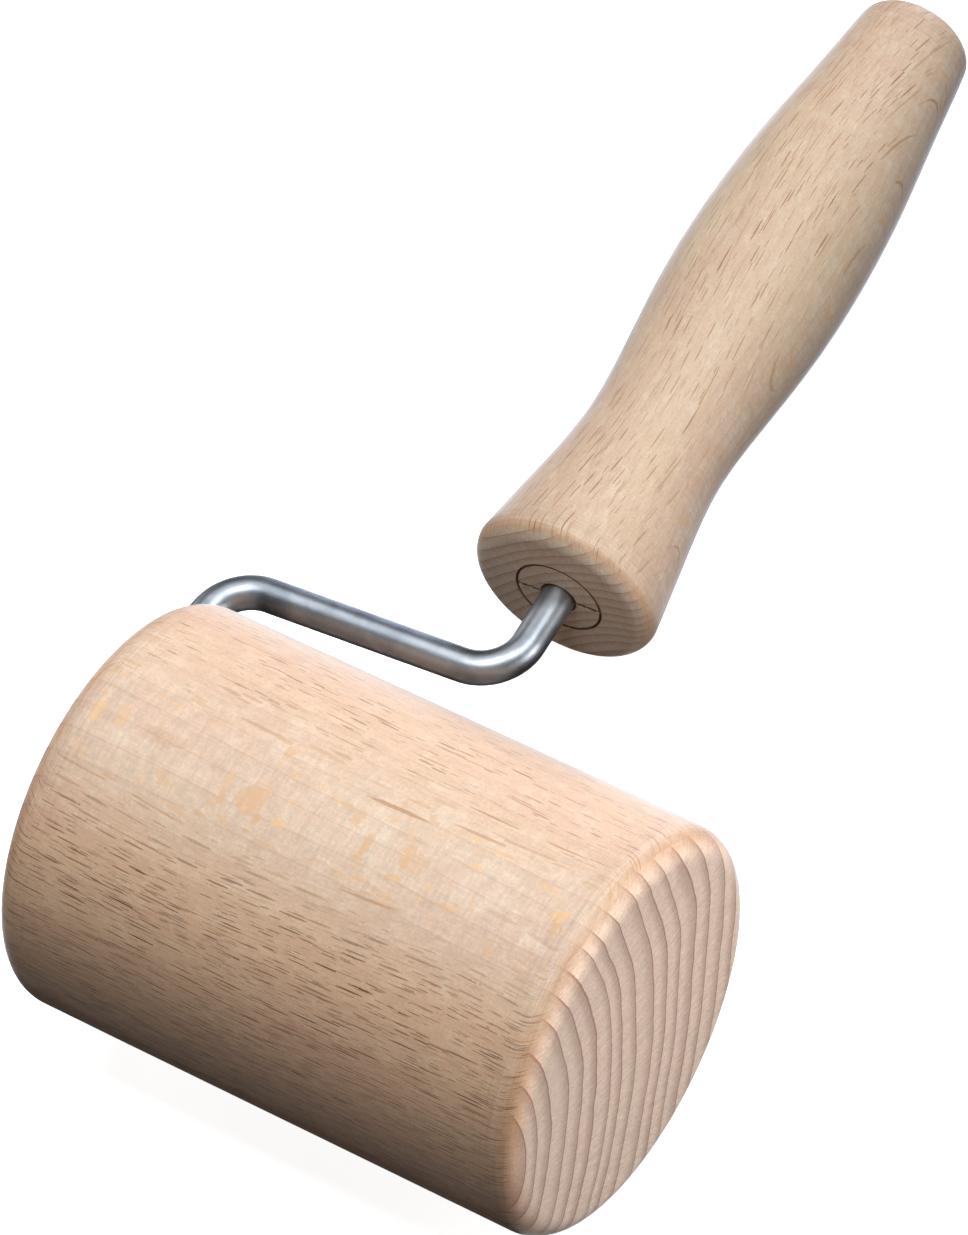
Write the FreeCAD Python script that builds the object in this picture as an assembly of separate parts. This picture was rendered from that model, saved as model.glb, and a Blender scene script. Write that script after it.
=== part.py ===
import math
import os

import FreeCAD
import Part

# One-armed dough roller: a turned beech roller runs on the end of a bent steel wire,
# and the other end of the wire is driven into a turned beech handle.
#
# Everything is modelled in the tool's own frame first, in millimetres:
#   the roller turns about Y, its open end, where the wire enters, faces +Y,
#   the wire's bends all lie in the XY plane, and the handle points along +X.
# lay_down() then rests the tool on a table, on its roller and the rim of its butt.

# ---- driving dimensions -------------------------------------------------------------

ROLLER_DIAMETER = 60.0
ROLLER_LENGTH = 84.4
ROLLER_EDGE_RADIUS = 4.0

WIRE_DIAMETER = 5.0
WIRE_BEND_RADIUS = 7.0          # centre line
ARM_GAP = 6.4                   # roller's open end to the arm's centre line
ARM_REACH = 38.2                # roller axis to the bend between arm and cross bar
TANG_REACH = 42.0               # roller axis to the bend between cross bar and tang
TANG_OFFSET = 5.0               # that bend's distance from the middle of the roller, towards the arm
HANDLE_LEAN = 3.8               # degrees the handle leans towards the arm's side
HANDLE_STANDOFF = 15.6          # tang bend to the handle's front face

HANDLE_LENGTH = 111.4
HANDLE_FRONT_RADIUS = 14.15     # where the front rim's rounding meets the side
HANDLE_FRONT_ROUNDING = 2.9
HANDLE_FRONT_SLOPE = 8.5        # degrees, the side drawing in behind the rim
HANDLE_BUTT_RADIUS = 8.8        # where the butt's rounding meets the side
HANDLE_BUTT_ROUNDING = 3.0
HANDLE_BUTT_SLOPE = 8.0         # degrees, the side drawing in towards the butt
# (distance from the front face, radius) of the flare, waist, swell and taper
HANDLE_SIDE = [(14.5, 12.45), (28.0, 10.9), (41.5, 11.65), (56.0, 12.85), (69.5, 12.9), (84.0, 11.85), (97.5, 10.15)]

# ---- hidden fits --------------------------------------------------------------------

RECESS_DIAMETER = 19.0          # counterbore in the roller's open end
RECESS_DEPTH = 6.0
ROLLER_BORE_DIAMETER = 12.0
ROLLER_BORE_DEPTH = 57.0        # to the full diameter, before the drill's cone
BORE_CHAMFER = 0.5
DRILL_POINT_ANGLE = 118.0

SLEEVE_BARREL_DIAMETER = 11.9
SLEEVE_FLANGE_DIAMETER = 18.0
SLEEVE_FLANGE_THICKNESS = 1.5
SLEEVE_LENGTH = 42.0            # flange included
SLEEVE_BARB_DIAMETER = 12.3     # each barb bites 0.15 mm into the beech
SLEEVE_BARB_LENGTH = 2.0
SLEEVE_BARB_PITCH = 8.0
SLEEVE_BARB_COUNT = 4
RUNNING_CLEARANCE = 0.08        # radial, axle in sleeve

WASHER_BORE = 5.2
WASHER_THICKNESS = 1.0
OUTER_WASHER_DIAMETER = 15.0
INNER_WASHER_DIAMETER = 11.0
END_FLOAT = 0.35                # between each washer and the sleeve

RING_DIAMETER = 11.0            # push-on retaining ring
RING_BORE = 7.4
RING_TOOTH_BORE = 4.9           # the teeth bite 0.05 mm into the axle
RING_TOOTH_COUNT = 6
RING_TOOTH_WIDTH = 1.7
RING_THICKNESS = 0.5
AXLE_END_PAST_RING = 2.5
AXLE_END_CHAMFER = 0.6

EAR_SPAN = 8.0                  # across the two ears pressed out of the axle
EAR_LENGTH = 2.0
EAR_THICKNESS = 2.2

TANG_DEPTH = 48.0               # wire inside the handle
TANG_HOLE_DIAMETER = 4.9        # the handle is driven on 0.05 mm tight
TANG_HOLE_DEPTH = 51.0
TANG_MOUTH_DIAMETER = 5.7
TANG_MOUTH_DEPTH = 1.4
TANG_POINT_LENGTH = 1.2

DRIVER_RING_RADIUS = 6.6        # mark left by the lathe's ring driver
DRIVER_RING_WIDTH = 0.4
DRIVER_RING_DEPTH = 0.8
DRIVER_WING_INNER_RADIUS = 2.9
DRIVER_WING_WIDTH = 0.35
DRIVER_WING_DEPTH = 0.7

# ---- worked out ---------------------------------------------------------------------

ROLLER_RADIUS = ROLLER_DIAMETER / 2
WIRE_RADIUS = WIRE_DIAMETER / 2
OPEN_END_Y = ROLLER_LENGTH / 2
FLANGE_Y = OPEN_END_Y - RECESS_DEPTH + SLEEVE_FLANGE_THICKNESS
SLEEVE_INNER_Y = FLANGE_Y - SLEEVE_LENGTH
OUTER_WASHER_Y = FLANGE_Y + END_FLOAT
EAR_Y = OUTER_WASHER_Y + WASHER_THICKNESS
INNER_WASHER_Y = SLEEVE_INNER_Y - END_FLOAT - WASHER_THICKNESS
RING_Y = INNER_WASHER_Y - RING_THICKNESS
AXLE_END_Y = RING_Y - AXLE_END_PAST_RING

ORIGIN = FreeCAD.Vector(0, 0, 0)
X_AXIS = FreeCAD.Vector(1, 0, 0)
Y_AXIS = FreeCAD.Vector(0, 1, 0)
Z_AXIS = FreeCAD.Vector(0, 0, 1)
LEAN = math.radians(HANDLE_LEAN)
TANG_BEND = FreeCAD.Vector(TANG_REACH, TANG_OFFSET, 0)


# ---- helpers ------------------------------------------------------------------------

def revolve_about_y(outline):
    """Solid of revolution from (y, radius) corners, in order round the section."""
    points = [FreeCAD.Vector(radius, y, 0) for y, radius in outline]
    section = Part.Face(Part.makePolygon(points + points[:1]))
    return section.revolve(ORIGIN, Y_AXIS, 360)


def cylinder_y(diameter, start_y, end_y):
    return Part.makeCylinder(diameter / 2, end_y - start_y, FreeCAD.Vector(0, start_y, 0), Y_AXIS)


def drill_cone_length(diameter):
    return diameter / 2 / math.tan(math.radians(DRILL_POINT_ANGLE / 2))


def arc_between(start, middle, end):
    return Part.Arc(start, middle, end).toShape()


def line_between(start, end):
    return Part.LineSegment(start, end).toShape()


def rounded_path(corners, radius):
    """Straight runs through the corners, joined by tangent arcs of one radius."""
    edges = []
    last = corners[0]
    for before, corner, after in zip(corners, corners[1:], corners[2:]):
        back = (before - corner).normalize()
        ahead = (after - corner).normalize()
        half_angle = back.getAngle(ahead) / 2
        bisector = (back + ahead).normalize()
        centre = corner + bisector * (radius / math.sin(half_angle))
        setback = radius / math.tan(half_angle)
        start = corner + back * setback
        end = corner + ahead * setback
        edges.append(line_between(last, start))
        edges.append(arc_between(start, centre - bisector * radius, end))
        last = end
    edges.append(line_between(last, corners[-1]))
    return Part.Wire(edges)


# ---- the tool's parts, in its own frame ---------------------------------------------

def make_roller():
    """Beech cylinder, blank at one end, with a recessed blind bore in the other."""
    body = cylinder_y(ROLLER_DIAMETER, -OPEN_END_Y, OPEN_END_Y)
    rims = [edge for edge in body.Edges if len(edge.Vertexes) == 1]
    body = body.makeFillet(ROLLER_EDGE_RADIUS, rims)
    bore_radius = ROLLER_BORE_DIAMETER / 2
    recess_radius = RECESS_DIAMETER / 2
    recess_floor = OPEN_END_Y - RECESS_DEPTH
    bore_floor = OPEN_END_Y - ROLLER_BORE_DEPTH
    cut = revolve_about_y([
        (bore_floor - drill_cone_length(ROLLER_BORE_DIAMETER), 0),
        (bore_floor, bore_radius),
        (recess_floor, bore_radius),
        (recess_floor, recess_radius),
        (OPEN_END_Y - BORE_CHAMFER, recess_radius),
        (OPEN_END_Y, recess_radius + BORE_CHAMFER),
        (OPEN_END_Y + 1, recess_radius + BORE_CHAMFER),
        (OPEN_END_Y + 1, 0),
    ])
    return body.cut(cut)


def make_bearing_sleeve():
    """Flanged nylon bush with a few saw-tooth barbs that hold it in the roller."""
    barrel = SLEEVE_BARREL_DIAMETER / 2
    outline = [
        (FLANGE_Y, WIRE_RADIUS + RUNNING_CLEARANCE),
        (FLANGE_Y, SLEEVE_FLANGE_DIAMETER / 2),
        (FLANGE_Y - SLEEVE_FLANGE_THICKNESS, SLEEVE_FLANGE_DIAMETER / 2),
        (FLANGE_Y - SLEEVE_FLANGE_THICKNESS, barrel),
    ]
    for barb in range(SLEEVE_BARB_COUNT):
        shoulder = FLANGE_Y - SLEEVE_BARB_PITCH * (barb + 1)
        outline.append((shoulder, barrel))
        outline.append((shoulder, SLEEVE_BARB_DIAMETER / 2))
        outline.append((shoulder - SLEEVE_BARB_LENGTH, barrel))
    outline.append((SLEEVE_INNER_Y, barrel))
    outline.append((SLEEVE_INNER_Y, WIRE_RADIUS + RUNNING_CLEARANCE))
    return revolve_about_y(outline)


def make_washer(diameter, start_y):
    hole = cylinder_y(WASHER_BORE, start_y, start_y + WASHER_THICKNESS)
    return cylinder_y(diameter, start_y, start_y + WASHER_THICKNESS).cut(hole)


def make_retaining_ring():
    """Push-on ring whose teeth reach in from the rim and grip the axle."""
    ring = cylinder_y(RING_DIAMETER, RING_Y, RING_Y + RING_THICKNESS)
    ring = ring.cut(cylinder_y(RING_BORE, RING_Y, RING_Y + RING_THICKNESS))
    tooth_reach = (RING_DIAMETER + RING_BORE) / 4
    for number in range(RING_TOOTH_COUNT):
        tooth = Part.makeBox(tooth_reach, RING_THICKNESS, RING_TOOTH_WIDTH,
                             FreeCAD.Vector(0, RING_Y, -RING_TOOTH_WIDTH / 2))
        tooth.rotate(ORIGIN, Y_AXIS, number * 360 / RING_TOOTH_COUNT)
        ring = ring.fuse(tooth)
    return ring.cut(cylinder_y(RING_TOOTH_BORE, RING_Y, RING_Y + RING_THICKNESS)).removeSplitter()


def handle_direction():
    return FreeCAD.Vector(math.cos(LEAN), math.sin(LEAN), 0)


def make_wire_frame():
    """One steel wire: axle, arm, cross bar and tang, with two stop ears on the axle."""
    arm_y = OPEN_END_Y + ARM_GAP
    tang_end = TANG_BEND + handle_direction() * (HANDLE_STANDOFF + TANG_DEPTH)
    path = rounded_path([
        FreeCAD.Vector(0, AXLE_END_Y, 0),
        FreeCAD.Vector(0, arm_y, 0),
        FreeCAD.Vector(ARM_REACH, arm_y, 0),
        TANG_BEND,
        tang_end - handle_direction() * TANG_POINT_LENGTH,
    ], WIRE_BEND_RADIUS)
    axle_start = FreeCAD.Vector(0, AXLE_END_Y, 0)
    section = Part.Wire(Part.makeCircle(WIRE_RADIUS, axle_start, Y_AXIS))
    rod = path.makePipeShell([section], True, False)
    point = Part.makeCone(WIRE_RADIUS, WIRE_RADIUS / 2, TANG_POINT_LENGTH,
                          tang_end - handle_direction() * TANG_POINT_LENGTH, handle_direction())
    blank_end = cylinder_y(WIRE_DIAMETER + 2, AXLE_END_Y - 1, AXLE_END_Y + AXLE_END_CHAMFER)
    turned_end = Part.makeCone(WIRE_RADIUS - AXLE_END_CHAMFER, WIRE_RADIUS, AXLE_END_CHAMFER, axle_start, Y_AXIS)
    chamfer = blank_end.cut(turned_end)
    ears = Part.makeBox(EAR_THICKNESS, EAR_LENGTH, EAR_SPAN,
                        FreeCAD.Vector(-EAR_THICKNESS / 2, EAR_Y, -EAR_SPAN / 2))
    ears = ears.makeFillet(EAR_THICKNESS / 4, [edge for edge in ears.Edges if is_along(edge, Z_AXIS)])
    return rod.fuse([point, ears]).cut(chamfer).removeSplitter()


def is_along(edge, axis):
    run = edge.Vertexes[1].Point - edge.Vertexes[0].Point
    return abs(abs(run.normalize().dot(axis)) - 1) < 1e-6


def handle_section():
    """Half section of the handle in (x, y), its front face at x = 0 and its axis on x."""
    front_angle = math.radians(HANDLE_FRONT_SLOPE)
    butt_angle = math.radians(HANDLE_BUTT_SLOPE)
    front_centre = FreeCAD.Vector(HANDLE_FRONT_ROUNDING, front_flat_radius(), 0)
    butt_centre = FreeCAD.Vector(HANDLE_LENGTH - HANDLE_BUTT_ROUNDING, butt_flat_radius(), 0)

    def on_rounding(centre, radius, angle):
        return centre + FreeCAD.Vector(math.sin(angle), math.cos(angle), 0) * radius

    front_start = on_rounding(front_centre, HANDLE_FRONT_ROUNDING, -math.pi / 2)
    front_end = on_rounding(front_centre, HANDLE_FRONT_ROUNDING, front_angle)
    butt_start = on_rounding(butt_centre, HANDLE_BUTT_ROUNDING, butt_angle)
    butt_end = on_rounding(butt_centre, HANDLE_BUTT_ROUNDING, math.pi / 2)
    side = Part.BSplineCurve()
    side.interpolate(
        Points=[front_end] + [FreeCAD.Vector(x, radius, 0) for x, radius in HANDLE_SIDE] + [butt_start],
        InitialTangent=FreeCAD.Vector(math.cos(front_angle), -math.sin(front_angle), 0),
        FinalTangent=FreeCAD.Vector(math.cos(butt_angle), -math.sin(butt_angle), 0))
    front_middle = on_rounding(front_centre, HANDLE_FRONT_ROUNDING, (front_angle - math.pi / 2) / 2)
    butt_middle = on_rounding(butt_centre, HANDLE_BUTT_ROUNDING, (butt_angle + math.pi / 2) / 2)
    butt_axis = FreeCAD.Vector(HANDLE_LENGTH, 0, 0)
    return Part.Face(Part.Wire([
        line_between(ORIGIN, front_start),
        arc_between(front_start, front_middle, front_end),
        side.toShape(),
        arc_between(butt_start, butt_middle, butt_end),
        line_between(butt_end, butt_axis),
        line_between(butt_axis, ORIGIN),
    ]))


def front_flat_radius():
    return HANDLE_FRONT_RADIUS - HANDLE_FRONT_ROUNDING * math.cos(math.radians(HANDLE_FRONT_SLOPE))


def butt_flat_radius():
    return HANDLE_BUTT_RADIUS - HANDLE_BUTT_ROUNDING * math.cos(math.radians(HANDLE_BUTT_SLOPE))


def make_tang_hole():
    hole = Part.makeCylinder(TANG_HOLE_DIAMETER / 2, TANG_HOLE_DEPTH, ORIGIN, X_AXIS)
    tip = Part.makeCone(TANG_HOLE_DIAMETER / 2, 0, drill_cone_length(TANG_HOLE_DIAMETER),
                        FreeCAD.Vector(TANG_HOLE_DEPTH, 0, 0), X_AXIS)
    mouth = Part.makeCylinder(TANG_MOUTH_DIAMETER / 2, TANG_MOUTH_DEPTH, ORIGIN, X_AXIS)
    return hole.fuse([tip, mouth])


def make_driver_mark():
    """V groove of the ring driver, and its two wings lying along the cross bar."""
    half_width = DRIVER_RING_WIDTH / 2
    corners = [
        FreeCAD.Vector(0, DRIVER_RING_RADIUS - half_width, 0),
        FreeCAD.Vector(DRIVER_RING_DEPTH, DRIVER_RING_RADIUS, 0),
        FreeCAD.Vector(0, DRIVER_RING_RADIUS + half_width, 0),
    ]
    mark = Part.Face(Part.makePolygon(corners + corners[:1])).revolve(ORIGIN, X_AXIS, 360)
    half_wing = DRIVER_WING_WIDTH / 2
    wing_section = [
        FreeCAD.Vector(0, DRIVER_WING_INNER_RADIUS, -half_wing),
        FreeCAD.Vector(DRIVER_WING_DEPTH, DRIVER_WING_INNER_RADIUS, 0),
        FreeCAD.Vector(0, DRIVER_WING_INNER_RADIUS, half_wing),
    ]
    wing = Part.Face(Part.makePolygon(wing_section + wing_section[:1]))
    wing = wing.extrude(Y_AXIS * (DRIVER_RING_RADIUS - DRIVER_WING_INNER_RADIUS))
    opposite_wing = wing.copy()
    opposite_wing.rotate(ORIGIN, X_AXIS, 180)
    return mark.fuse([wing, opposite_wing])


def make_handle():
    """Turned beech handle with the drilled hole that takes the tang."""
    handle = handle_section().revolve(ORIGIN, X_AXIS, 360)
    handle = handle.cut(make_tang_hole()).cut(make_driver_mark())
    handle.rotate(ORIGIN, Z_AXIS, HANDLE_LEAN)
    handle.translate(TANG_BEND + handle_direction() * HANDLE_STANDOFF)
    return handle


# ---- resting on the table -----------------------------------------------------------

def butt_distance():
    """Distance along the handle from the tang's bend to the centre of the butt's rounding."""
    return HANDLE_STANDOFF + HANDLE_LENGTH - HANDLE_BUTT_ROUNDING


def resting_tilt():
    """Angle about the roller axis at which roller and butt both touch the table, in radians."""
    drop = ROLLER_RADIUS - HANDLE_BUTT_ROUNDING
    along = TANG_REACH / math.cos(LEAN) + butt_distance()
    across = butt_flat_radius()
    handle_slope = math.asin(drop / math.hypot(along, across)) - math.atan2(across, along)
    return math.asin(math.sin(handle_slope) / math.cos(LEAN))


def butt_reach(tilt):
    """How far the tilted handle reaches in front of the roller axis."""
    centre = (TANG_REACH + butt_distance() * math.cos(LEAN)) * math.cos(tilt)
    slant = math.sqrt(1 - (math.cos(LEAN) * math.cos(tilt)) ** 2)
    return centre + butt_flat_radius() * slant + HANDLE_BUTT_ROUNDING


def lay_down(shape):
    """Tilt the tool onto the table and put the origin under the middle of its box."""
    tilt = resting_tilt()
    shape.rotate(ORIGIN, Y_AXIS, math.degrees(tilt))
    middle_x = (butt_reach(tilt) - ROLLER_RADIUS) / 2
    middle_y = (ARM_GAP + WIRE_RADIUS) / 2
    shape.translate(FreeCAD.Vector(-middle_x, -middle_y, ROLLER_RADIUS))
    return shape


def make_parts():
    return {
        "roller": make_roller(),
        "bearing_sleeve": make_bearing_sleeve(),
        "outer_thrust_washer": make_washer(OUTER_WASHER_DIAMETER, OUTER_WASHER_Y),
        "inner_thrust_washer": make_washer(INNER_WASHER_DIAMETER, INNER_WASHER_Y),
        "retaining_ring": make_retaining_ring(),
        "wire_frame": make_wire_frame(),
        "handle": make_handle(),
    }


os.makedirs("parts", exist_ok=True)
for name, shape in make_parts().items():
    lay_down(shape).exportStep("parts/" + name + ".step")
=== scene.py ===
import math
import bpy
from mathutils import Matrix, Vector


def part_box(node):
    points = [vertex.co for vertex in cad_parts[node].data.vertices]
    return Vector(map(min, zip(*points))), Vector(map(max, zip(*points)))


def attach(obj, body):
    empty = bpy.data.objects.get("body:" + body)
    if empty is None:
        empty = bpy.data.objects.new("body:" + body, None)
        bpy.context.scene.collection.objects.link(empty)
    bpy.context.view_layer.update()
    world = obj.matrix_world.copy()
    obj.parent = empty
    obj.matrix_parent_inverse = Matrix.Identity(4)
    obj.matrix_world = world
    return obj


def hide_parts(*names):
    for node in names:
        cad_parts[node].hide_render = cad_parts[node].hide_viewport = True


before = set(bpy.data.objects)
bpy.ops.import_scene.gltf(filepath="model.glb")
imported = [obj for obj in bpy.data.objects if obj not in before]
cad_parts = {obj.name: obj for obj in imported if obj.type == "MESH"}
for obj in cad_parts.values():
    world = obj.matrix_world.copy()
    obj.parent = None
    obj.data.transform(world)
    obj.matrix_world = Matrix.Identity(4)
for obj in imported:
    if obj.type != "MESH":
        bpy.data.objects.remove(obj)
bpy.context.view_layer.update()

from types import SimpleNamespace

import bmesh
import bpy
import numpy as np
from mathutils import Matrix, Vector

# A one-armed dough roller: turned beech roller, bent steel wire, turned beech handle.
# Lengths are in millimetres in the tool's own frame, and MM turns them into metres.
# In that frame the roller turns about Y with its open end at +Y, the wire's bends lie in
# the XY plane, and the handle points along +X. The tool lies tilted on the table.

MM = 0.001
SHARP_ANGLE = math.radians(35)  # faces that meet at more than this keep a hard edge

# ---- dimensions ---------------------------------------------------------------------

TILT = math.radians(7.356)      # it lies on its roller and the rim of its butt
LEAN = math.radians(3.8)        # the handle leans towards the arm's side

ROLLER_LOW, ROLLER_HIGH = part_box("roller")
ROLLER_CENTRE = (ROLLER_LOW + ROLLER_HIGH) / 2
ROLLER_RADIUS = (ROLLER_HIGH.z - ROLLER_LOW.z) / 2 / MM
ROLLER_LENGTH = (ROLLER_HIGH.y - ROLLER_LOW.y) / MM
ROLLER_EDGE = 4.0
ROLLER_SEGMENTS = 320
RECESS_RADIUS = 9.5             # counterbore in the open end
RECESS_DEPTH = 6.0
RECESS_CHAMFER = 0.5
BORE_RADIUS = 6.0
BORE_DEPTH = 57.0
BORE_TIP_DEPTH = 60.6           # to the point of the drill's cone

WIRE_RADIUS = 2.5
WIRE_BEND = 7.0                 # centre-line radius of the bends
WIRE_SIDES = 48
WIRE_STEP = 0.4                 # along the straight runs of the mesh
BEND_STEPS = 24
TIP_LENGTH = 0.9                # both ends of the wire taper over this length
TIP_SHRINK = 0.22               # share of the radius that is gone at the tip
ARM_GAP = 6.4                   # roller's open end to the arm
ARM_REACH = 38.2                # roller's axis to the bend between arm and cross bar
TANG_BEND = Vector((42.0, 5.0, 0.0))
TANG_DEPTH = 48.0               # wire inside the handle
AXLE_END_DEPTH = 50.85          # from the roller's open end, and so are the ears
EARS_DEPTH = 2.15
EARS_HALF_LENGTH = 1.0
EARS_FADE = 0.7                 # from the ears' full shape back to round wire
EARS_THINNING = 0.55            # share of the radius lost across the ears
EARS_SPREAD = 0.6               # and gained along them

HANDLE_STANDOFF = 15.6          # tang bend to the handle's front face
HANDLE_LENGTH = 111.4
HANDLE_SEGMENTS = 384
FRONT_RADIUS = 14.15            # where the front rim's rounding meets the side
FRONT_ROUNDING = 2.9
FRONT_SLOPE = math.radians(8.5)
BUTT_RADIUS = 8.8
BUTT_ROUNDING = 3.0
BUTT_SLOPE = math.radians(8.0)
# (distance from the front face, radius) of the flare, waist, swell and taper
HANDLE_SIDE = [(14.5, 12.45), (28.0, 10.9), (41.5, 11.65), (56.0, 12.85), (69.5, 12.9), (84.0, 11.85),
               (97.5, 10.15)]
HOLE_RADIUS = 2.45
HOLE_DEPTH = 52.5               # to the point of the drill's cone
HOLE_TIP = 1.5                  # length of that cone
HOLE_MOUTH_RADIUS = 2.85
HOLE_MOUTH_DEPTH = 1.4
MARK_RADIUS = 6.6               # ring pressed into the front face by the lathe's driver
MARK_DEPTH = 0.7
MARK_HALF_WIDTH = 0.2
MARK_MARGIN = 0.6               # of fine mesh outside the ring
GROOVE_SHADE_DEPTH = 0.1            # the mark's faces get painted shade where it is deeper than this
WING_START = 2.9                # two short lines of the same mark
WING_HALF_WIDTH = 0.28

TOOL = Matrix.Translation(ROLLER_CENTRE) @ Matrix.Rotation(TILT, 4, "Y")
HANDLE_AXIS = Vector((math.cos(LEAN), math.sin(LEAN), 0))


def frame_from(origin, x_axis, y_axis, z_axis):
    """Matrix whose local axes are these directions of the tool's frame."""
    turn = Matrix((x_axis, y_axis, z_axis)).transposed().to_4x4()
    return TOOL @ Matrix.Translation(origin * MM) @ turn


# Local axes of the turned pieces: Z along the piece, from the roller's open end to its
# blank end, and from the handle's front face to its butt.
ROLLER_FRAME = frame_from(Vector((0, 0, 0)), Vector((1, 0, 0)), Vector((0, 0, 1)), Vector((0, -1, 0)))
HANDLE_FRAME = frame_from(TANG_BEND + HANDLE_AXIS * HANDLE_STANDOFF, Vector((0, 0, 1)),
                          Vector((math.sin(LEAN), -math.cos(LEAN), 0)), HANDLE_AXIS)


# ---- mesh helpers -------------------------------------------------------------------

def line(start, end, steps):
    """Points from start up to, and not including, end."""
    return [(start[0] + (end[0] - start[0]) * i / steps, start[1] + (end[1] - start[1]) * i / steps)
            for i in range(steps)]


def arc(centre, radius, start_angle, end_angle, steps):
    """Points of an arc in the (z, radius) plane, angles measured from the radius direction."""
    angles = [start_angle + (end_angle - start_angle) * i / steps for i in range(steps)]
    return [(centre[0] + radius * math.sin(a), centre[1] + radius * math.cos(a)) for a in angles]


def clamped_spline(knots, start_slope, end_slope, steps):
    """Points of the cubic spline through the knots with the given end slopes."""
    x = np.array([k[0] for k in knots])
    y = np.array([k[1] for k in knots])
    gap = np.diff(x)
    rise = np.diff(y) / gap
    size = len(x)
    system = np.eye(size)
    right = np.zeros(size)
    right[0], right[-1] = start_slope, end_slope
    for i in range(1, size - 1):
        system[i, i - 1:i + 2] = [gap[i], 2 * (gap[i - 1] + gap[i]), gap[i - 1]]
        right[i] = 3 * (gap[i] * rise[i - 1] + gap[i - 1] * rise[i])
    slope = np.linalg.solve(system, right)
    points = []
    for position in np.linspace(x[0], x[-1], steps, endpoint=False):
        i = min(np.searchsorted(x, position, side="right") - 1, size - 2)
        t = (position - x[i]) / gap[i]
        value = ((1 + 2 * t) * (1 - t) ** 2 * y[i] + t * (1 - t) ** 2 * gap[i] * slope[i]
                 + t * t * (3 - 2 * t) * y[i + 1] - t * t * (1 - t) * gap[i] * slope[i + 1])
        points.append((float(position), float(value)))
    return points


def full_turn(steps):
    """Angles that divide a full turn evenly."""
    return [2 * math.pi * i / steps for i in range(steps)]


def turned_rings(mesh, outline, segments):
    """One ring of vertices about Z for each (z, radius) point."""
    return [[mesh.verts.new((radius * math.cos(a), radius * math.sin(a), z)) for a in full_turn(segments)]
            for z, radius in outline]


def join_rings(mesh, rings):
    """Skin of four-sided faces over rings of vertices, each ring to the next."""
    for first, second in zip(rings, rings[1:]):
        for i in range(len(first)):
            j = (i + 1) % len(first)
            mesh.faces.new((first[i], first[j], second[j], second[i]))


def lathe(outline, segments):
    """Mesh of revolution about Z from (z, radius) points that start and end on the axis."""
    mesh = bmesh.new()
    rings = turned_rings(mesh, outline[1:-1], segments)
    join_rings(mesh, rings)
    for (z, _), ring in ((outline[0], rings[0]), (outline[-1], rings[-1])):
        pole = mesh.verts.new((0, 0, z))
        for i in range(segments):
            mesh.faces.new((pole, ring[(i + 1) % segments], ring[i]))
    bmesh.ops.recalc_face_normals(mesh, faces=mesh.faces)
    return mesh


def add_object(name, mesh, material):
    """New object in the scene from a finished bmesh, which is freed."""
    data = bpy.data.meshes.new(name)
    mesh.to_mesh(data)
    mesh.free()
    data.materials.append(material)
    made = bpy.data.objects.new(name, data)
    bpy.context.scene.collection.objects.link(made)
    return made


def add_piece(name, mesh, matrix, body, material):
    """New smooth-shaded piece from a bmesh in millimetres, riding on a body of the frame."""
    mesh.transform(Matrix.Scale(MM, 4))
    piece = add_object(name, mesh, material)
    piece.data.polygons.foreach_set("use_smooth", [True] * len(piece.data.polygons))
    piece.data.set_sharp_from_angle(angle=SHARP_ANGLE)
    piece.matrix_world = matrix
    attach(piece, body)
    return piece


# ---- shader helpers -----------------------------------------------------------------

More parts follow.
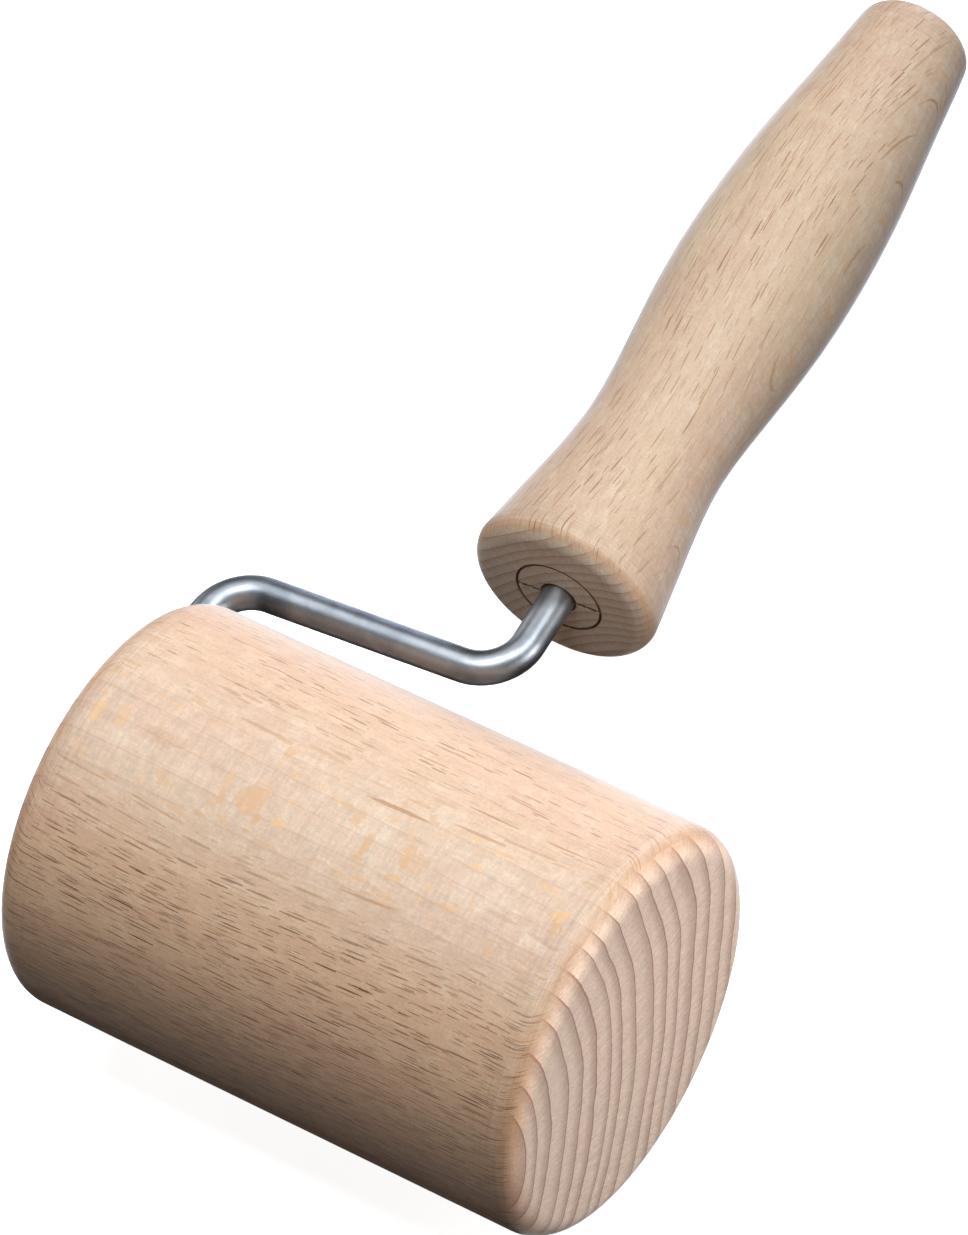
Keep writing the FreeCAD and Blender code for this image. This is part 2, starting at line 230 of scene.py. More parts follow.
class Shader:
    """Builds one material's node tree. A value is a number, a tuple or another node's output."""

    def __init__(self, name):
        self.material = bpy.data.materials.new(name)
        self.material.use_nodes = True
        self.tree = self.material.node_tree
        self.surface = self.tree.nodes["Principled BSDF"]

    def put(self, socket, value):
        """Link a node's output to the socket, or set the socket to a plain value."""
        if isinstance(value, bpy.types.NodeSocket):
            self.tree.links.new(value, socket)
        elif value is not None:
            socket.default_value = value

    def node(self, kind, inputs=(), **settings):
        """New node with its inputs put in place by name, and its other settings set."""
        made = self.tree.nodes.new(kind)
        for key, value in settings.items():
            setattr(made, key, value)
        for key, value in dict(inputs).items():
            self.put(made.inputs[key], value)
        return made

    def math(self, operation, first, second=None, third=None):
        made = self.node("ShaderNodeMath", operation=operation)
        for socket, value in zip(made.inputs, (first, second, third)):
            self.put(socket, value)
        return made.outputs[0]

    def times(self, first, second):
        """Product of two single values."""
        return self.math("MULTIPLY", first, second)

    def vector(self, operation, first, second=None, output="Vector"):
        made = self.node("ShaderNodeVectorMath", operation=operation)
        self.put(made.inputs[0], first)
        self.put(made.inputs[1], second)
        return made.outputs[output]

    def scaled(self, vector, factors):
        """The vector with each of its parts multiplied by its own factor."""
        return self.vector("MULTIPLY", vector, factors)

    def length(self, vector):
        return self.vector("LENGTH", vector, output="Value")

    def combine(self, x, y, z):
        return self.node("ShaderNodeCombineXYZ", {"X": x, "Y": y, "Z": z}).outputs[0]

    def separate(self, vector):
        return self.node("ShaderNodeSeparateXYZ", {"Vector": vector}).outputs[:3]

    def ramp(self, value, low, high, to_low=0.0, to_high=1.0, smooth=True):
        """The value carried from low..high to to_low..to_high, and held at both ends."""
        kind = "SMOOTHSTEP" if smooth else "LINEAR"
        made = self.node("ShaderNodeMapRange", {"Value": value, "From Min": low, "From Max": high,
                                                "To Min": to_low, "To Max": to_high},
                         interpolation_type=kind)
        return made.outputs["Result"]

    def noise_node(self, vector, scale, detail, roughness):
        return self.node("ShaderNodeTexNoise", {"Vector": vector, "Scale": scale, "Detail": detail,
                                                "Roughness": roughness})

    def noise(self, vector, scale=1.0, detail=2.0, roughness=0.5):
        return self.noise_node(vector, scale, detail, roughness).outputs[0]

    def random_vector(self, vector, detail=2.0, roughness=0.5):
        """Smooth random vector about zero."""
        made = self.noise_node(vector, 1.0, detail, roughness)
        return self.vector("SUBTRACT", made.outputs["Color"], (0.5, 0.5, 0.5))

    def point_in_mm(self):
        """Point of the surface, in millimetres along the piece's own axes."""
        return self.scaled(self.node("ShaderNodeTexCoord").outputs["Object"], (1 / MM, 1 / MM, 1 / MM))

    def mix(self, factor, first, second, blend="MIX"):
        made = self.node("ShaderNodeMix", data_type="RGBA", blend_type=blend)
        self.put(made.inputs["Factor"], factor)
        colours = [socket for socket in made.inputs if socket.type == "RGBA"]
        self.put(colours[0], first)
        self.put(colours[1], second)
        return [socket for socket in made.outputs if socket.type == "RGBA"][0]

    def tinted(self, tone, tint):
        """A colour multiplied by a tint or by a plain brightness."""
        return self.mix(1.0, tone, tint, "MULTIPLY")

    def bump(self, height, distance):
        """Normal of a surface whose height of 1 stands this many metres proud."""
        return self.node("ShaderNodeBump", {"Height": height, "Distance": distance}).outputs[0]

    def finish(self, **sockets):
        """Set the surface's sockets, named with _ for a space, and return the material."""
        for key, value in sockets.items():
            self.put(self.surface.inputs[key.replace("_", " ")], value)
        return self.material


def colour(red, green, blue):
    """Opaque colour, as linear light."""
    return (red, green, blue, 1.0)


# ---- beech --------------------------------------------------------------------------

EARLY_WOOD = colour(0.72, 0.505, 0.345)
PINK_WOOD = colour(0.70, 0.465, 0.325)
PALE_WOOD = colour(0.80, 0.62, 0.46)
LATE_WOOD = colour(0.52, 0.30, 0.205)
YELLOW_FLECK = colour(0.82, 0.49, 0.22)
TAWNY_FLECK = colour(0.68, 0.38, 0.19)
RAY_BROWN = colour(0.48, 0.24, 0.11)
BURNISH = colour(0.90, 0.77, 0.65)
SHEEN_TINT = colour(0.93, 0.96, 1.0)    # fine sanding dust

TURNED_ZONE = 10.0              # turning marks grow stronger from this far from each end
TURNED_FULL = 3.0               # and are at their strongest from here
BELT_ANGLE = math.radians(37)   # of the sanding scratches across the end grain

# One cut of beech each. pith is the middle of the tree in the piece's XY plane, ends are the
# piece's lowest and highest Z, ray_gap is the distance between rays round the tree, ray_width
# is half the thickness of the largest, and ray_depth is how strongly their colour shows.
ROLLER_TIMBER = SimpleNamespace(
    pith=(-72.9, 17.6),
    seed=2.0,
    ends=(-ROLLER_LENGTH / 2, ROLLER_LENGTH / 2),
    ring_width=3.6,
    ring_line=colour(0.42, 0.13, 0.065),
    ray_gap=0.75,
    ray_width=0.105,
    ray_depth=0.95,
    ray_colour=colour(0.11, 0.045, 0.02),
    # As the roller lies, its quarter cut is on top and its flat cut on its side: the cooler quarter tint is
    # a painted cool haze on the lit top, and the darker, warmer flat tint is painted warm shade on the side.
    quarter_tint=colour(0.94, 0.98, 1.04),
    flat_tint=colour(0.94, 0.88, 0.83),
    end_wood=colour(1.0, 0.72, 0.53))

HANDLE_TIMBER = SimpleNamespace(
    pith=(-29.4, 18.9),
    seed=11.0,
    ends=(0.0, HANDLE_LENGTH),
    ring_width=1.65,
    # The handle's ring line is greyed to look as it does in shade: painted shade on its front face.
    ring_line=colour(0.27, 0.16, 0.10),
    ray_gap=1.25,
    ray_width=0.066,
    ray_depth=1.0,
    ray_colour=colour(0.32, 0.14, 0.06),
    quarter_tint=colour(0.82, 0.87, 0.90),
    flat_tint=colour(0.80, 0.83, 0.83),
    # The handle's end wood is dark and greyed: painted shade on its end faces, of which the front one lies
    # in shade.
    end_wood=colour(0.57, 0.50, 0.41))


class Beech(Shader):
    """Solid beech, from its growth rings and rays. Z of the piece is along the fibres.

    A pattern is read at a place scaled by how often it repeats in a millimetre, so that each
    one is long along the fibres and short across them."""

    def __init__(self, name, timber):
        super().__init__(name)
        self.timber = timber
        self.point = self.point_in_mm()
        self.place_in_tree()
        self.read_cut(self.node("ShaderNodeTexCoord").outputs["Normal"])
        self.ladder = self.noise(self.scaled(self.grain, (0.2, 1.6, 1.4)), roughness=0.6)
        self.fibres = self.noise(self.scaled(self.grain, (1.2, 3.6, 0.3)), detail=3.0, roughness=0.65)

    def place_in_tree(self):
        """x, y and radial from the pith, and grain, as radial, tangential and lengthwise millimetres.

        The tree's own shape drifts a little along and across the piece."""
        pith_x, pith_y = self.timber.pith
        pith_distance = math.hypot(pith_x, pith_y)
        drift = self.random_vector(self.scaled(self.point, (0.03, 0.03, 0.012)), detail=1.0)
        from_pith = self.vector("SUBTRACT", self.point, (pith_x, pith_y, 0.0))
        from_pith = self.vector("ADD", from_pith, self.scaled(drift, (5.0, 5.0, 0.0)))
        self.x, self.y, self.z = self.separate(from_pith)
        toward_x, toward_y = -pith_x / pith_distance, -pith_y / pith_distance
        ahead = self.math("MULTIPLY_ADD", self.x, toward_x, self.times(self.y, toward_y))
        aside = self.math("MULTIPLY_ADD", self.y, toward_x, self.times(self.x, -toward_y))
        self.radial = self.length(self.combine(self.x, self.y, 0.0))
        tangential = self.times(self.math("ARCTAN2", aside, ahead), pith_distance)
        self.grain = self.combine(self.radial, tangential, self.z)

    def read_cut(self, normal):
        """How squarely the surface cuts the fibres (end) and the rings (flat, against quarter)."""
        normal_x, normal_y, normal_z = self.separate(normal)
        self.steep = self.math("ABSOLUTE", normal_z)
        self.end = self.ramp(self.steep, 0.5, 0.88)
        self.side = self.math("SUBTRACT", 1.0, self.end)
        outward = self.math("MULTIPLY_ADD", normal_x, self.x, self.times(normal_y, self.y))
        outward = self.math("ABSOLUTE", self.math("DIVIDE", outward, self.radial))
        self.flat = self.ramp(outward, 0.12, 0.7)
        self.quarter = self.math("SUBTRACT", 1.0, self.ramp(outward, 0.12, 0.45))

    def growth_rings(self):
        """How late in its season the wood grew, and the thin dark line that closes the year."""
        along = self.combine(self.times(self.radial, 0.11), self.timber.seed, self.times(self.z, 0.004))
        wobble = self.noise(along, detail=1.0)
        ripple = self.noise(self.scaled(self.point, (0.16, 0.16, 0.02)))
        years = self.math("DIVIDE", self.radial, self.timber.ring_width)
        years = self.math("MULTIPLY_ADD", wobble, 1.5, self.math("MULTIPLY_ADD", ripple, 0.22, years))
        season = self.math("FRACT", years)
        late = self.times(self.ramp(season, 0.3, 0.97), self.ramp(season, 1.0, 0.985))
        year_end = self.times(self.ramp(season, 0.89, 0.955), self.ramp(season, 1.0, 0.98))
        return late, year_end

    def ground(self):
        """Colour of the wood before its rays: patches, mottle, rings, fibres and speckle."""
        patches = self.noise(self.scaled(self.point, (0.07, 0.07, 0.022)), detail=3.0)
        mottle = self.noise(self.scaled(self.grain, (0.2, 0.9, 0.4)), detail=3.0, roughness=0.6)
        speckle = self.noise(self.point, scale=2.6, roughness=0.7)
        late, year_end = self.growth_rings()
        late_weight = self.math("MULTIPLY_ADD", self.end, 0.54, 0.14)
        line_weight = self.math("MULTIPLY_ADD", self.quarter, 0.07, 0.05)
        line_weight = self.math("MULTIPLY_ADD", self.end, 0.50, line_weight)
        wood = self.mix(self.ramp(patches, 0.35, 0.65), EARLY_WOOD, PINK_WOOD)
        wood = self.mix(self.times(self.ramp(mottle, 0.45, 0.75), 0.6), wood, PALE_WOOD)
        # On the handle this end wood colour is painted shade as well as end grain.
        wood = self.mix(self.times(self.end, 0.85), wood, self.timber.end_wood)
        wood = self.mix(self.times(late, late_weight), wood, LATE_WOOD)
        wood = self.mix(self.times(year_end, line_weight), wood, self.timber.ring_line)
        wood = self.tinted(wood, self.ramp(self.fibres, 0.25, 0.75, 0.93, 1.05))
        wood = self.tinted(wood, self.ramp(speckle, 0.25, 0.75, 0.93, 1.06))
        laddered = self.tinted(wood, self.ramp(self.ladder, 0.3, 0.7, 0.93, 1.05))
        return self.mix(self.quarter, wood, laddered)

    def ray_layer(self, scale, cell, size, seed_step):
        """Wood rays: thin upright lenses, one to a cell. Returns their mask and a random value.

        cell and size, the half sizes of a large lens, are radial, tangential and lengthwise
        millimetres. scale multiplies the lenses, and seed_step sets one layer apart from another."""
        seed = self.timber.seed + seed_step
        place = self.scaled(self.ragged_grain, tuple(1 / c for c in cell))
        place = self.vector("ADD", place, (seed, seed * 1.3, seed * 0.7))
        cells = self.node("ShaderNodeTexVoronoi", {"Vector": place, "Scale": 1.0, "Randomness": 1.0},
                          voronoi_dimensions="3D", feature="F1")
        offset = self.vector("SUBTRACT", place, cells.outputs["Position"])
        reach = self.length(self.scaled(offset, tuple(c / s for c, s in zip(cell, size))))
        chance = self.separate(cells.outputs["Color"])
        largest = self.times(self.math("MULTIPLY_ADD", chance[0], 0.6, 0.55), scale)
        return self.ramp(self.math("DIVIDE", reach, largest), 1.0, 0.7), chance[1]

    def add_rays(self, wood):
        """Dark dashes where the surface cuts across the rays, tawny flecks where it runs along them.

        The rays' edges are ragged, and the rays are larger and darker near the pith."""
        gap, width = self.timber.ray_gap, self.timber.ray_width
        ragged = self.random_vector(self.scaled(self.grain, (0.7, 1.0, 1.6)), roughness=0.6)
        self.ragged_grain = self.vector("ADD", self.grain, self.scaled(ragged, (3.0, 0.07, 1.8)))
        near_pith = self.ramp(self.radial, 105.0, 50.0, 0.66, 1.12, smooth=False)
        long_rays, long_chance = self.ray_layer(near_pith, (10.0, gap, 4.6), (5.0, width, 2.4), 0.0)
        short_rays, short_chance = self.ray_layer(near_pith, (6.0, gap * 0.7, 3.2),
                                                  (3.0, width * 0.8, 1.3), 7.3)
        plates, plate_chance = self.ray_layer(1.0, (5.4, 1.3, 3.6), (2.8, 0.34, 0.85), 5.1)
        sheets, sheet_chance = self.ray_layer(1.0, (13.0, 1.4, 9.0), (8.0, 0.08, 5.5), 3.9)

        small = self.times(short_rays, self.math("MULTIPLY_ADD", short_chance, 0.6, 0.2))
        flecks = self.times(plates, self.ramp(plate_chance, 0.2, 1.0))
        flecks = self.math("MAXIMUM", flecks, self.math("MAXIMUM", long_rays, small))
        fleck_tone = self.mix(plate_chance, YELLOW_FLECK, TAWNY_FLECK)
        fleck_weight = self.ramp(self.ladder, 0.3, 0.6, 0.45, 0.85)
        fleck_weight = self.times(self.times(self.quarter, self.side), fleck_weight)
        wood = self.mix(self.times(flecks, fleck_weight), wood, fleck_tone)

        dashes = self.times(long_rays, self.math("MULTIPLY_ADD", long_chance, 0.55, 0.45))
        dashes = self.math("MAXIMUM", dashes, small)
        dash_weight = self.math("MINIMUM", self.times(near_pith, self.timber.ray_depth), 1.0)
        dash_weight = self.times(self.times(self.flat, self.side), dash_weight)
        wood = self.mix(self.times(dashes, dash_weight), wood, self.timber.ray_colour)

        sheet_weight = self.times(self.side, self.times(sheet_chance, 0.8))
        return self.mix(self.times(sheets, sheet_weight), wood, RAY_BROWN)

    def add_end_grain(self, wood):
        """Pores and sanding scratches on the ends, the tint of each cut, and a burnished rim. On the roller
        the cut tints also paint a cool haze on its lit top and warm shade on its side.
        """
        self.pores = self.noise(self.scaled(self.ragged_grain, (3.2, 3.2, 0.3)), roughness=0.7)
        belt = self.node("ShaderNodeVectorRotate", {"Vector": self.point, "Angle": BELT_ANGLE},
                         rotation_type="Z_AXIS").outputs[0]
        self.scratches = self.noise(self.scaled(belt, (4.5, 0.12, 0.0)), detail=3.0, roughness=0.7)
        wood = self.mix(self.end, wood, self.tinted(wood, self.ramp(self.pores, 0.3, 0.7, 0.88, 1.08)))
        scratch_weight = self.times(self.end, self.ramp(self.scratches, 0.60, 0.78, 0.0, 0.35))
        wood = self.mix(scratch_weight, wood, PALE_WOOD)
        # On the roller these cut tints are painted light: a cool haze on the lit top and warm shade on the
        # side.
        wood = self.tinted(wood, self.mix(self.flat, self.timber.quarter_tint, self.timber.flat_tint))
        rim = self.times(self.ramp(self.steep, 0.2, 0.5), self.ramp(self.steep, 0.95, 0.7))
        return self.mix(self.times(rim, 0.6), wood, self.tinted(wood, BURNISH))

    def add_turning(self, wood):
        """Marks of the turning tool, strongest by the ends of the piece."""
        low, high = self.timber.ends
        half = (high - low) / 2
        from_middle = self.math("SUBTRACT", self.separate(self.point)[2], (low + high) / 2)
        from_middle = self.math("ABSOLUTE", from_middle)
        near_end = self.ramp(from_middle, half - TURNED_ZONE, half - TURNED_FULL, 0.1, 1.0)
        self.turning = self.noise(self.scaled(self.point, (0.05, 0.05, 4.0)), detail=3.0, roughness=0.7)
        self.turned = self.times(near_end, self.side)
        marked = self.tinted(wood, self.ramp(self.turning, 0.35, 0.65, 0.87, 1.0))
        return self.mix(self.turned, wood, marked)

    def relief(self):
        """Height of the fibres, with turning marks on the sides and scratches and pores on the ends."""
        sides = self.math("MULTIPLY_ADD", self.turning, self.turned, self.fibres)
        ends = self.math("MULTIPLY_ADD", self.scratches, 0.6, self.times(self.pores, 0.3))
        return self.math("MULTIPLY_ADD", ends, self.end, sides)

    def build(self):
        """Finish the material and return it."""
        wood = self.add_rays(self.ground())
        wood = self.add_turning(self.add_end_grain(wood))
        roughness = self.math("MULTIPLY_ADD", self.end, 0.10, 0.42)
        roughness = self.math("MULTIPLY_ADD", self.fibres, 0.16, roughness)
        return self.finish(Base_Color=wood, Roughness=roughness, Normal=self.bump(self.relief(), 0.03 * MM),
                           Specular_IOR_Level=0.5, Sheen_Weight=0.9, Sheen_Roughness=0.28,
                           Sheen_Tint=SHEEN_TINT)


def groove_shade_beech():
    """Painted shade: dark wood for the groove of the mark left by the ring driver that turned the handle in
    the lathe.
    """
    s = Shader("groove_shade_beech")
    point = s.point_in_mm()
    tone = s.mix(s.noise(point, scale=0.8, detail=3.0), colour(0.09, 0.045, 0.025), colour(0.26, 0.14, 0.08))
    return s.finish(Base_Color=tone, Roughness=0.7, Normal=s.bump(s.noise(point, scale=3.0), 0.02 * MM))


# ---- steel and nylon ----------------------------------------------------------------

def drawn_steel():
    """Satin drawn wire: cloudy grey, with faint pits and a finely uneven skin."""
    s = Shader("drawn_steel")
    point = s.point_in_mm()
    skin = s.noise(point, scale=2.4, detail=4.0, roughness=0.7)
    pits = s.noise(point, scale=5.0, detail=3.0, roughness=0.75)
    cloud = s.noise(point, scale=0.22, detail=3.0)
    tone = s.mix(s.ramp(cloud, 0.35, 0.65), colour(0.26, 0.285, 0.32), colour(0.355, 0.38, 0.415))
    tone = s.mix(s.ramp(pits, 0.62, 0.74, 0.0, 0.3), tone, colour(0.16, 0.16, 0.17))
    relief = s.math("MULTIPLY_ADD", skin, 0.7, s.times(pits, 0.3))
    return s.finish(Base_Color=tone, Metallic=1.0, Roughness=s.ramp(skin, 0.3, 0.7, 0.35, 0.46),
                    Normal=s.bump(relief, 0.02 * MM))


def fine_metal(name, dark, light):
    """Plain metal with a fine-grained surface, for the small pressed pieces."""
    s = Shader(name)
    grain = s.noise(s.node("ShaderNodeTexCoord").outputs["Object"], scale=1 / MM, detail=3.0)
    return s.finish(Base_Color=s.mix(grain, dark, light), Metallic=1.0,
                    Roughness=s.ramp(grain, 0.3, 0.7, 0.28, 0.45), Normal=s.bump(grain, 0.01 * MM))


def nylon():
    """Off-white moulded nylon."""
    s = Shader("nylon")
    grain = s.noise(s.node("ShaderNodeTexCoord").outputs["Object"], scale=0.7 / MM, detail=3.0)
    tone = s.mix(grain, colour(0.72, 0.69, 0.61), colour(0.80, 0.77, 0.70))
    return s.finish(Base_Color=tone, Roughness=s.ramp(grain, 0.3, 0.7, 0.38, 0.52),
                    Normal=s.bump(grain, 0.01 * MM))


# ---- roller -------------------------------------------------------------------------

def roller_outline():
    """Half outline from the bottom of the blind bore, out of the open end and round to the blank end."""
    open_z, blank_z = -ROLLER_LENGTH / 2, ROLLER_LENGTH / 2
    flat = ROLLER_RADIUS - ROLLER_EDGE
    bore_z, recess_z = open_z + BORE_DEPTH, open_z + RECESS_DEPTH
    mouth_z, mouth_radius = open_z + RECESS_CHAMFER, RECESS_RADIUS + RECESS_CHAMFER
    outline = line((open_z + BORE_TIP_DEPTH, 0), (bore_z, BORE_RADIUS), 8)
    outline += line((bore_z, BORE_RADIUS), (recess_z, BORE_RADIUS), 24)
    outline += line((recess_z, BORE_RADIUS), (recess_z, RECESS_RADIUS), 6)
    outline += line((recess_z, RECESS_RADIUS), (mouth_z, RECESS_RADIUS), 8)
    outline += line((mouth_z, RECESS_RADIUS), (open_z, mouth_radius), 2)
    outline += line((open_z, mouth_radius), (open_z, flat), 20)
    outline += arc((open_z + ROLLER_EDGE, flat), ROLLER_EDGE, -math.pi / 2, 0, 14)
    outline += line((open_z + ROLLER_EDGE, ROLLER_RADIUS), (blank_z - ROLLER_EDGE, ROLLER_RADIUS), 60)
    outline += arc((blank_z - ROLLER_EDGE, flat), ROLLER_EDGE, 0, math.pi / 2, 14)
    outline += line((blank_z, flat), (blank_z, 0), 28)
    return outline + [(blank_z, 0)]


def make_roller(material):
    mesh = lathe(roller_outline(), ROLLER_SEGMENTS)
    piece = add_piece("beech_roller", mesh, ROLLER_FRAME, "roller", material)
    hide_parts("roller")


# ---- handle -------------------------------------------------------------------------

def handle_outline():
    """Half outline from the bottom of the tang's hole, out of the front face and round to the butt."""
    front_flat = FRONT_RADIUS - FRONT_ROUNDING * math.cos(FRONT_SLOPE)
    butt_flat = BUTT_RADIUS - BUTT_ROUNDING * math.cos(BUTT_SLOPE)
    front_centre = (FRONT_ROUNDING, front_flat)
    butt_centre = (HANDLE_LENGTH - BUTT_ROUNDING, butt_flat)
    side_start = (front_centre[0] + FRONT_ROUNDING * math.sin(FRONT_SLOPE), FRONT_RADIUS)
    side_end = (butt_centre[0] + BUTT_ROUNDING * math.sin(BUTT_SLOPE), BUTT_RADIUS)
    mark_edge = MARK_RADIUS + MARK_MARGIN
    outline = line((HOLE_DEPTH, 0), (HOLE_DEPTH - HOLE_TIP, HOLE_RADIUS), 4)
    outline += line((HOLE_DEPTH - HOLE_TIP, HOLE_RADIUS), (HOLE_MOUTH_DEPTH, HOLE_RADIUS), 12)
    outline += line((HOLE_MOUTH_DEPTH, HOLE_RADIUS), (HOLE_MOUTH_DEPTH, HOLE_MOUTH_RADIUS), 2)
    outline += line((HOLE_MOUTH_DEPTH, HOLE_MOUTH_RADIUS), (0, HOLE_MOUTH_RADIUS), 8)
    outline += line((0, HOLE_MOUTH_RADIUS), (0, mark_edge), 44)
    outline += line((0, mark_edge), (0, front_flat), 14)
    outline += arc(front_centre, FRONT_ROUNDING, -math.pi / 2, FRONT_SLOPE, 16)
    outline += clamped_spline([side_start] + HANDLE_SIDE + [side_end],
                              -math.tan(FRONT_SLOPE), -math.tan(BUTT_SLOPE), 110)
    outline += arc(butt_centre, BUTT_ROUNDING, BUTT_SLOPE, math.pi / 2, 16)
    outline += line((HANDLE_LENGTH, butt_flat), (HANDLE_LENGTH, 0), 12)
    return outline + [(HANDLE_LENGTH, 0)]


def front_mark_depth(x, y):
    """Depth of the ring driver's mark at a point of the handle's front face."""
    radius = math.hypot(x, y)
    ring = max(0.0, 1 - abs(radius - MARK_RADIUS) / MARK_HALF_WIDTH)
    wing = max(0.0, 1 - abs(x) / WING_HALF_WIDTH) if WING_START < radius < MARK_RADIUS else 0.0
    return MARK_DEPTH * max(ring, wing)


def make_handle(material, mark_material):
    mesh = lathe(handle_outline(), HANDLE_SEGMENTS)
    for vert in mesh.verts:
        on_front_face = abs(vert.co.z) < 1e-6
        if on_front_face:
            vert.co.z = front_mark_depth(vert.co.x, vert.co.y)
    for face in mesh.faces:
        middle = face.calc_center_median()
        near_front_face = middle.z < 1
        # faces deep in the driver's mark take the painted shade material
        if near_front_face and front_mark_depth(middle.x, middle.y) > GROOVE_SHADE_DEPTH:
            face.material_index = 1
    piece = add_piece("beech_handle", mesh, HANDLE_FRAME, "holder", material)
    piece.data.materials.append(mark_material)
    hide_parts("handle")


# ---- wire ---------------------------------------------------------------------------

def straight_run(start, end):
    """Points from start up to, and not including, end, a wire step or a little more apart."""
    steps = max(2, int((end - start).length / WIRE_STEP))
    return [start.lerp(end, i / steps) for i in range(steps)]


def wire_path():
    """Centre line of the wire, from the axle's end to the tang's, straight runs joined by arcs."""
    open_y = ROLLER_LENGTH / 2
    tang_end = TANG_BEND + HANDLE_AXIS * (HANDLE_STANDOFF + TANG_DEPTH)
    corners = [Vector((0, open_y - AXLE_END_DEPTH, 0)), Vector((0, open_y + ARM_GAP, 0)),
               Vector((ARM_REACH, open_y + ARM_GAP, 0)), TANG_BEND, tang_end]
    points = []
    last = corners[0]
    for before, corner, after in zip(corners, corners[1:], corners[2:]):
        back = (before - corner).normalized()
        ahead = (after - corner).normalized()
        half = back.angle(ahead) / 2
        bisector = (back + ahead).normalized()
        centre = corner + bisector * (WIRE_BEND / math.sin(half))
        setback = WIRE_BEND / math.tan(half)
        start, end = corner + back * setback, corner + ahead * setback
        turn = math.pi - 2 * half
        axis = (start - centre).cross(end - centre).normalized()
        points += straight_run(last, start)
        points += [centre + Matrix.Rotation(turn * i / BEND_STEPS, 3, axis) @ (start - centre)
                   for i in range(BEND_STEPS)]
        last = end
    return points + straight_run(last, tang_end) + [tang_end]


def ears_squeeze(point):
    """1 at the two stop ears squeezed out of the axle, falling to 0 just outside them."""
    on_axle = abs(point.x) <= 1
    if not on_axle:
        return 0.0
    from_ears = abs(point.y - (ROLLER_LENGTH / 2 - EARS_DEPTH))
    return max(0.0, min(1.0, (EARS_HALF_LENGTH + EARS_FADE - from_ears) / EARS_FADE))


def wire_ring(mesh, point, ahead, from_end):
    """Ring of vertices round the wire, narrower near its ends and flattened at the ears."""
    across = ahead.cross(Vector((0, 0, 1))).normalized()
    radius = WIRE_RADIUS * (1 - TIP_SHRINK * (1 - min(1.0, from_end / TIP_LENGTH)))
    squeeze = ears_squeeze(point)
    half_width = radius * (1 - EARS_THINNING * squeeze)
    half_height = radius * (1 + EARS_SPREAD * squeeze)
    return [mesh.verts.new(point + across * (math.cos(a) * half_width)
                           + Vector((0, 0, math.sin(a) * half_height))) for a in full_turn(WIRE_SIDES)]


def make_wire(material):
    points = wire_path()
    mesh = bmesh.new()
    rings = []
    for before, point, after in zip(points[:1] + points, points, points[1:] + points[-1:]):
        from_end = min((point - points[0]).length, (point - points[-1]).length)
        rings.append(wire_ring(mesh, point, (after - before).normalized(), from_end))
    join_rings(mesh, rings)
    mesh.faces.new(rings[0][::-1])
    mesh.faces.new(rings[-1])
    bmesh.ops.recalc_face_normals(mesh, faces=mesh.faces)
    piece = add_piece("steel_wire", mesh, TOOL, "holder", material)
    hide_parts("wire_frame")


# ---- pieces inside the roller -------------------------------------------------------

def dress_hidden_parts():
    """Materials for the sleeve, washers and ring, which keep their CAD meshes."""
    zinc = fine_metal("zinc_plate", colour(0.50, 0.51, 0.52), colour(0.66, 0.66, 0.64))
    spring_steel = fine_metal("spring_steel", colour(0.05, 0.05, 0.055), colour(0.12, 0.11, 0.11))
    looks = {"bearing_sleeve": nylon(), "outer_thrust_washer": zinc, "inner_thrust_washer": zinc,
             "retaining_ring": spring_steel}
    for node, material in looks.items():
        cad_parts[node].data.materials.clear()
        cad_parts[node].data.materials.append(material)


# ---- stage, in metres ---------------------------------------------------------------

FLOOR_FLAT = 2.0                # radius of the first ring of the floor
FLOOR_RADIUS = 5.0
SWEEP_RADIUS = 2.0              # of the bend from floor to wall
SWEEP_STEPS = 10
WALL_HEIGHT = 8.0
FLOOR_SIDES = 64

WHITE = (1.0, 1.0, 1.0)
COOL = (0.94, 0.98, 1.0)
# Soft boxes: name, offset from the roller's centre, size, power in watts, tint
LIGHTS = [
    ("overhead", (0.15, 0.0, 2.0), 0.8, 27.5, COOL),
    ("front_right", (0.85, -0.85, 1.65), 0.8, 20, COOL),
    ("back_right", (0.85, 0.85, 1.65), 0.8, 6, COOL),
    ("behind", (2.0, 0.2, 0.05), 1.0, 19, (0.90, 0.97, 1.15)),
    ("table_bounce", (-1.1, -0.5, -1.1), 1.2, 1.6, (0.97, 0.95, 1.0)),
    ("table_glow", (1.1, 0.8, -1.4), 1.5, 18, (0.90, 0.96, 1.10)),
    ("back_fill", (0.5, 2.0, 0.4), 1.2, 8, WHITE),
    ("left_fill", (-1.7, -0.4, 1.3), 1.2, 3.5, (1.0, 0.97, 0.94)),
]
CARD = ("end_card", (0.11, -0.30, 0.04), 0.12, 0.047, WHITE)
CARD_SPREAD = math.radians(50)
WORLD_COLOUR = colour(1.0, 0.86, 0.72)
WORLD_STRENGTH = 0.02

CAMERA_TARGET = Vector((-0.02055, 0.00812, 0.02549))
CAMERA_DISTANCE = 1.1129
CAMERA_AZIMUTH = math.radians(-41.042)
CAMERA_ELEVATION = math.radians(58.521)
CAMERA_ROLL = math.radians(20.089)
CAMERA_LENS = 233.2             # the lens and the sensor are in millimetres
CAMERA_SENSOR = 36


def floor_paper():
    """White paper that glows a little more with distance, so that it fades into the backdrop."""
    s = Shader("floor_paper")
    from_tool = s.length(s.node("ShaderNodeTexCoord").outputs["Object"])
    return s.finish(Base_Color=colour(0.9, 0.9, 0.9), Roughness=0.9, Specular_IOR_Level=0.1,
                    Emission_Color=colour(1, 1, 1),
                    Emission_Strength=s.ramp(from_tool, 0.2, 1.5, 0.86, 1.0))


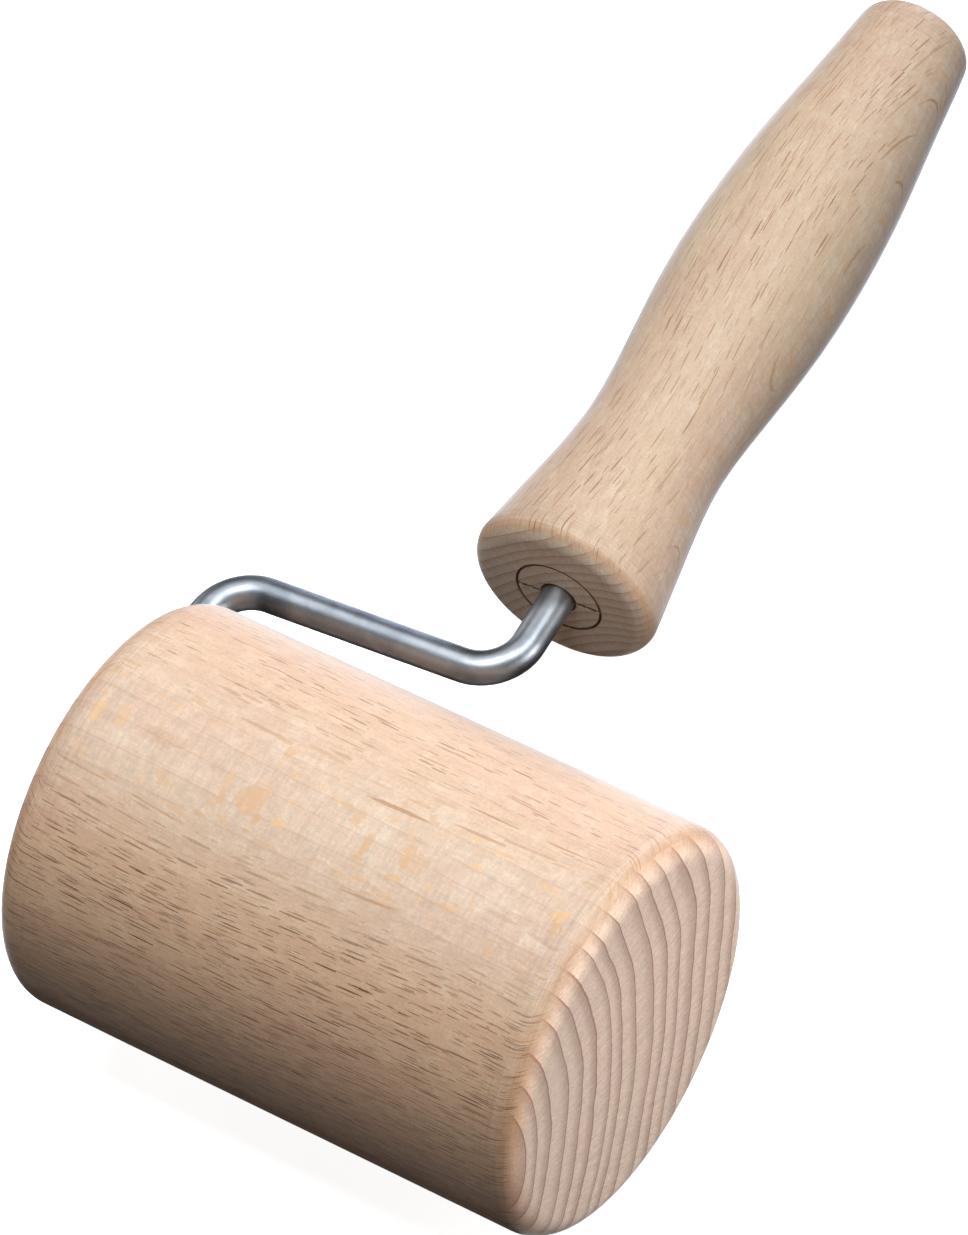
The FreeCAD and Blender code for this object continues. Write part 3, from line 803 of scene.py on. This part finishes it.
def make_floor():
    """A pale sweep: flat under the tool, and rising to a wall far away."""
    mesh = bmesh.new()
    bends = [math.pi / 2 * i / SWEEP_STEPS for i in range(1, SWEEP_STEPS + 1)]
    profile = [(0.0, FLOOR_FLAT), (0.0, FLOOR_RADIUS)]
    profile += [(SWEEP_RADIUS * (1 - math.cos(a)), FLOOR_RADIUS + SWEEP_RADIUS * math.sin(a)) for a in bends]
    profile += [(WALL_HEIGHT, FLOOR_RADIUS + SWEEP_RADIUS)]
    rings = turned_rings(mesh, profile, FLOOR_SIDES)
    centre = mesh.verts.new((0, 0, 0))
    for first, second in zip(rings[0], rings[0][1:] + rings[0][:1]):
        mesh.faces.new((centre, first, second))
    join_rings(mesh, rings[::-1])
    floor = add_object("floor", mesh, floor_paper())
    floor.visible_diffuse = False
    floor.visible_glossy = False
    floor.visible_shadow = False


def add_light(name, offset, size, power, tint):
    """Square soft box at an offset from the roller's centre, turned towards it. Returns its data."""
    data = bpy.data.lights.new(name, "AREA")
    data.shape = "SQUARE"
    data.size = size
    data.energy = power
    data.color = tint
    light = bpy.data.objects.new(name, data)
    bpy.context.scene.collection.objects.link(light)
    light.location = ROLLER_CENTRE + Vector(offset)
    light.rotation_mode = "QUATERNION"
    light.rotation_quaternion = Vector(offset).to_track_quat("Z", "Y")
    light.visible_camera = False
    return data


def make_lights():
    """The soft boxes, a small card close to the roller's blank end, and a dim warm world."""
    for light in LIGHTS:
        add_light(*light)
    add_light(*CARD).spread = CARD_SPREAD
    world = bpy.data.worlds.new("studio")
    world.use_nodes = True
    world.node_tree.nodes["Background"].inputs["Color"].default_value = WORLD_COLOUR
    world.node_tree.nodes["Background"].inputs["Strength"].default_value = WORLD_STRENGTH
    bpy.context.scene.world = world
    bpy.context.scene.view_settings.view_transform = "Standard"


def make_camera():
    """Long lens, above the roller's blank end, rolled so that the handle rises to the right."""
    back = Vector((math.sin(CAMERA_AZIMUTH) * math.cos(CAMERA_ELEVATION),
                   -math.cos(CAMERA_AZIMUTH) * math.cos(CAMERA_ELEVATION), math.sin(CAMERA_ELEVATION)))
    roll = Matrix.Rotation(-CAMERA_ROLL, 3, "Z").to_quaternion()
    data = bpy.data.cameras.new("camera")
    data.sensor_width = CAMERA_SENSOR
    data.lens = CAMERA_LENS
    camera = bpy.data.objects.new("camera", data)
    bpy.context.scene.collection.objects.link(camera)
    camera.rotation_mode = "QUATERNION"
    camera.location = CAMERA_TARGET + back * CAMERA_DISTANCE
    camera.rotation_quaternion = back.to_track_quat("Z", "Y") @ roll
    bpy.context.scene.camera = camera


make_camera()
make_lights()
make_floor()
make_roller(Beech("roller_beech", ROLLER_TIMBER).build())
make_handle(Beech("handle_beech", HANDLE_TIMBER).build(), groove_shade_beech())
make_wire(drawn_steel())
dress_hidden_parts()
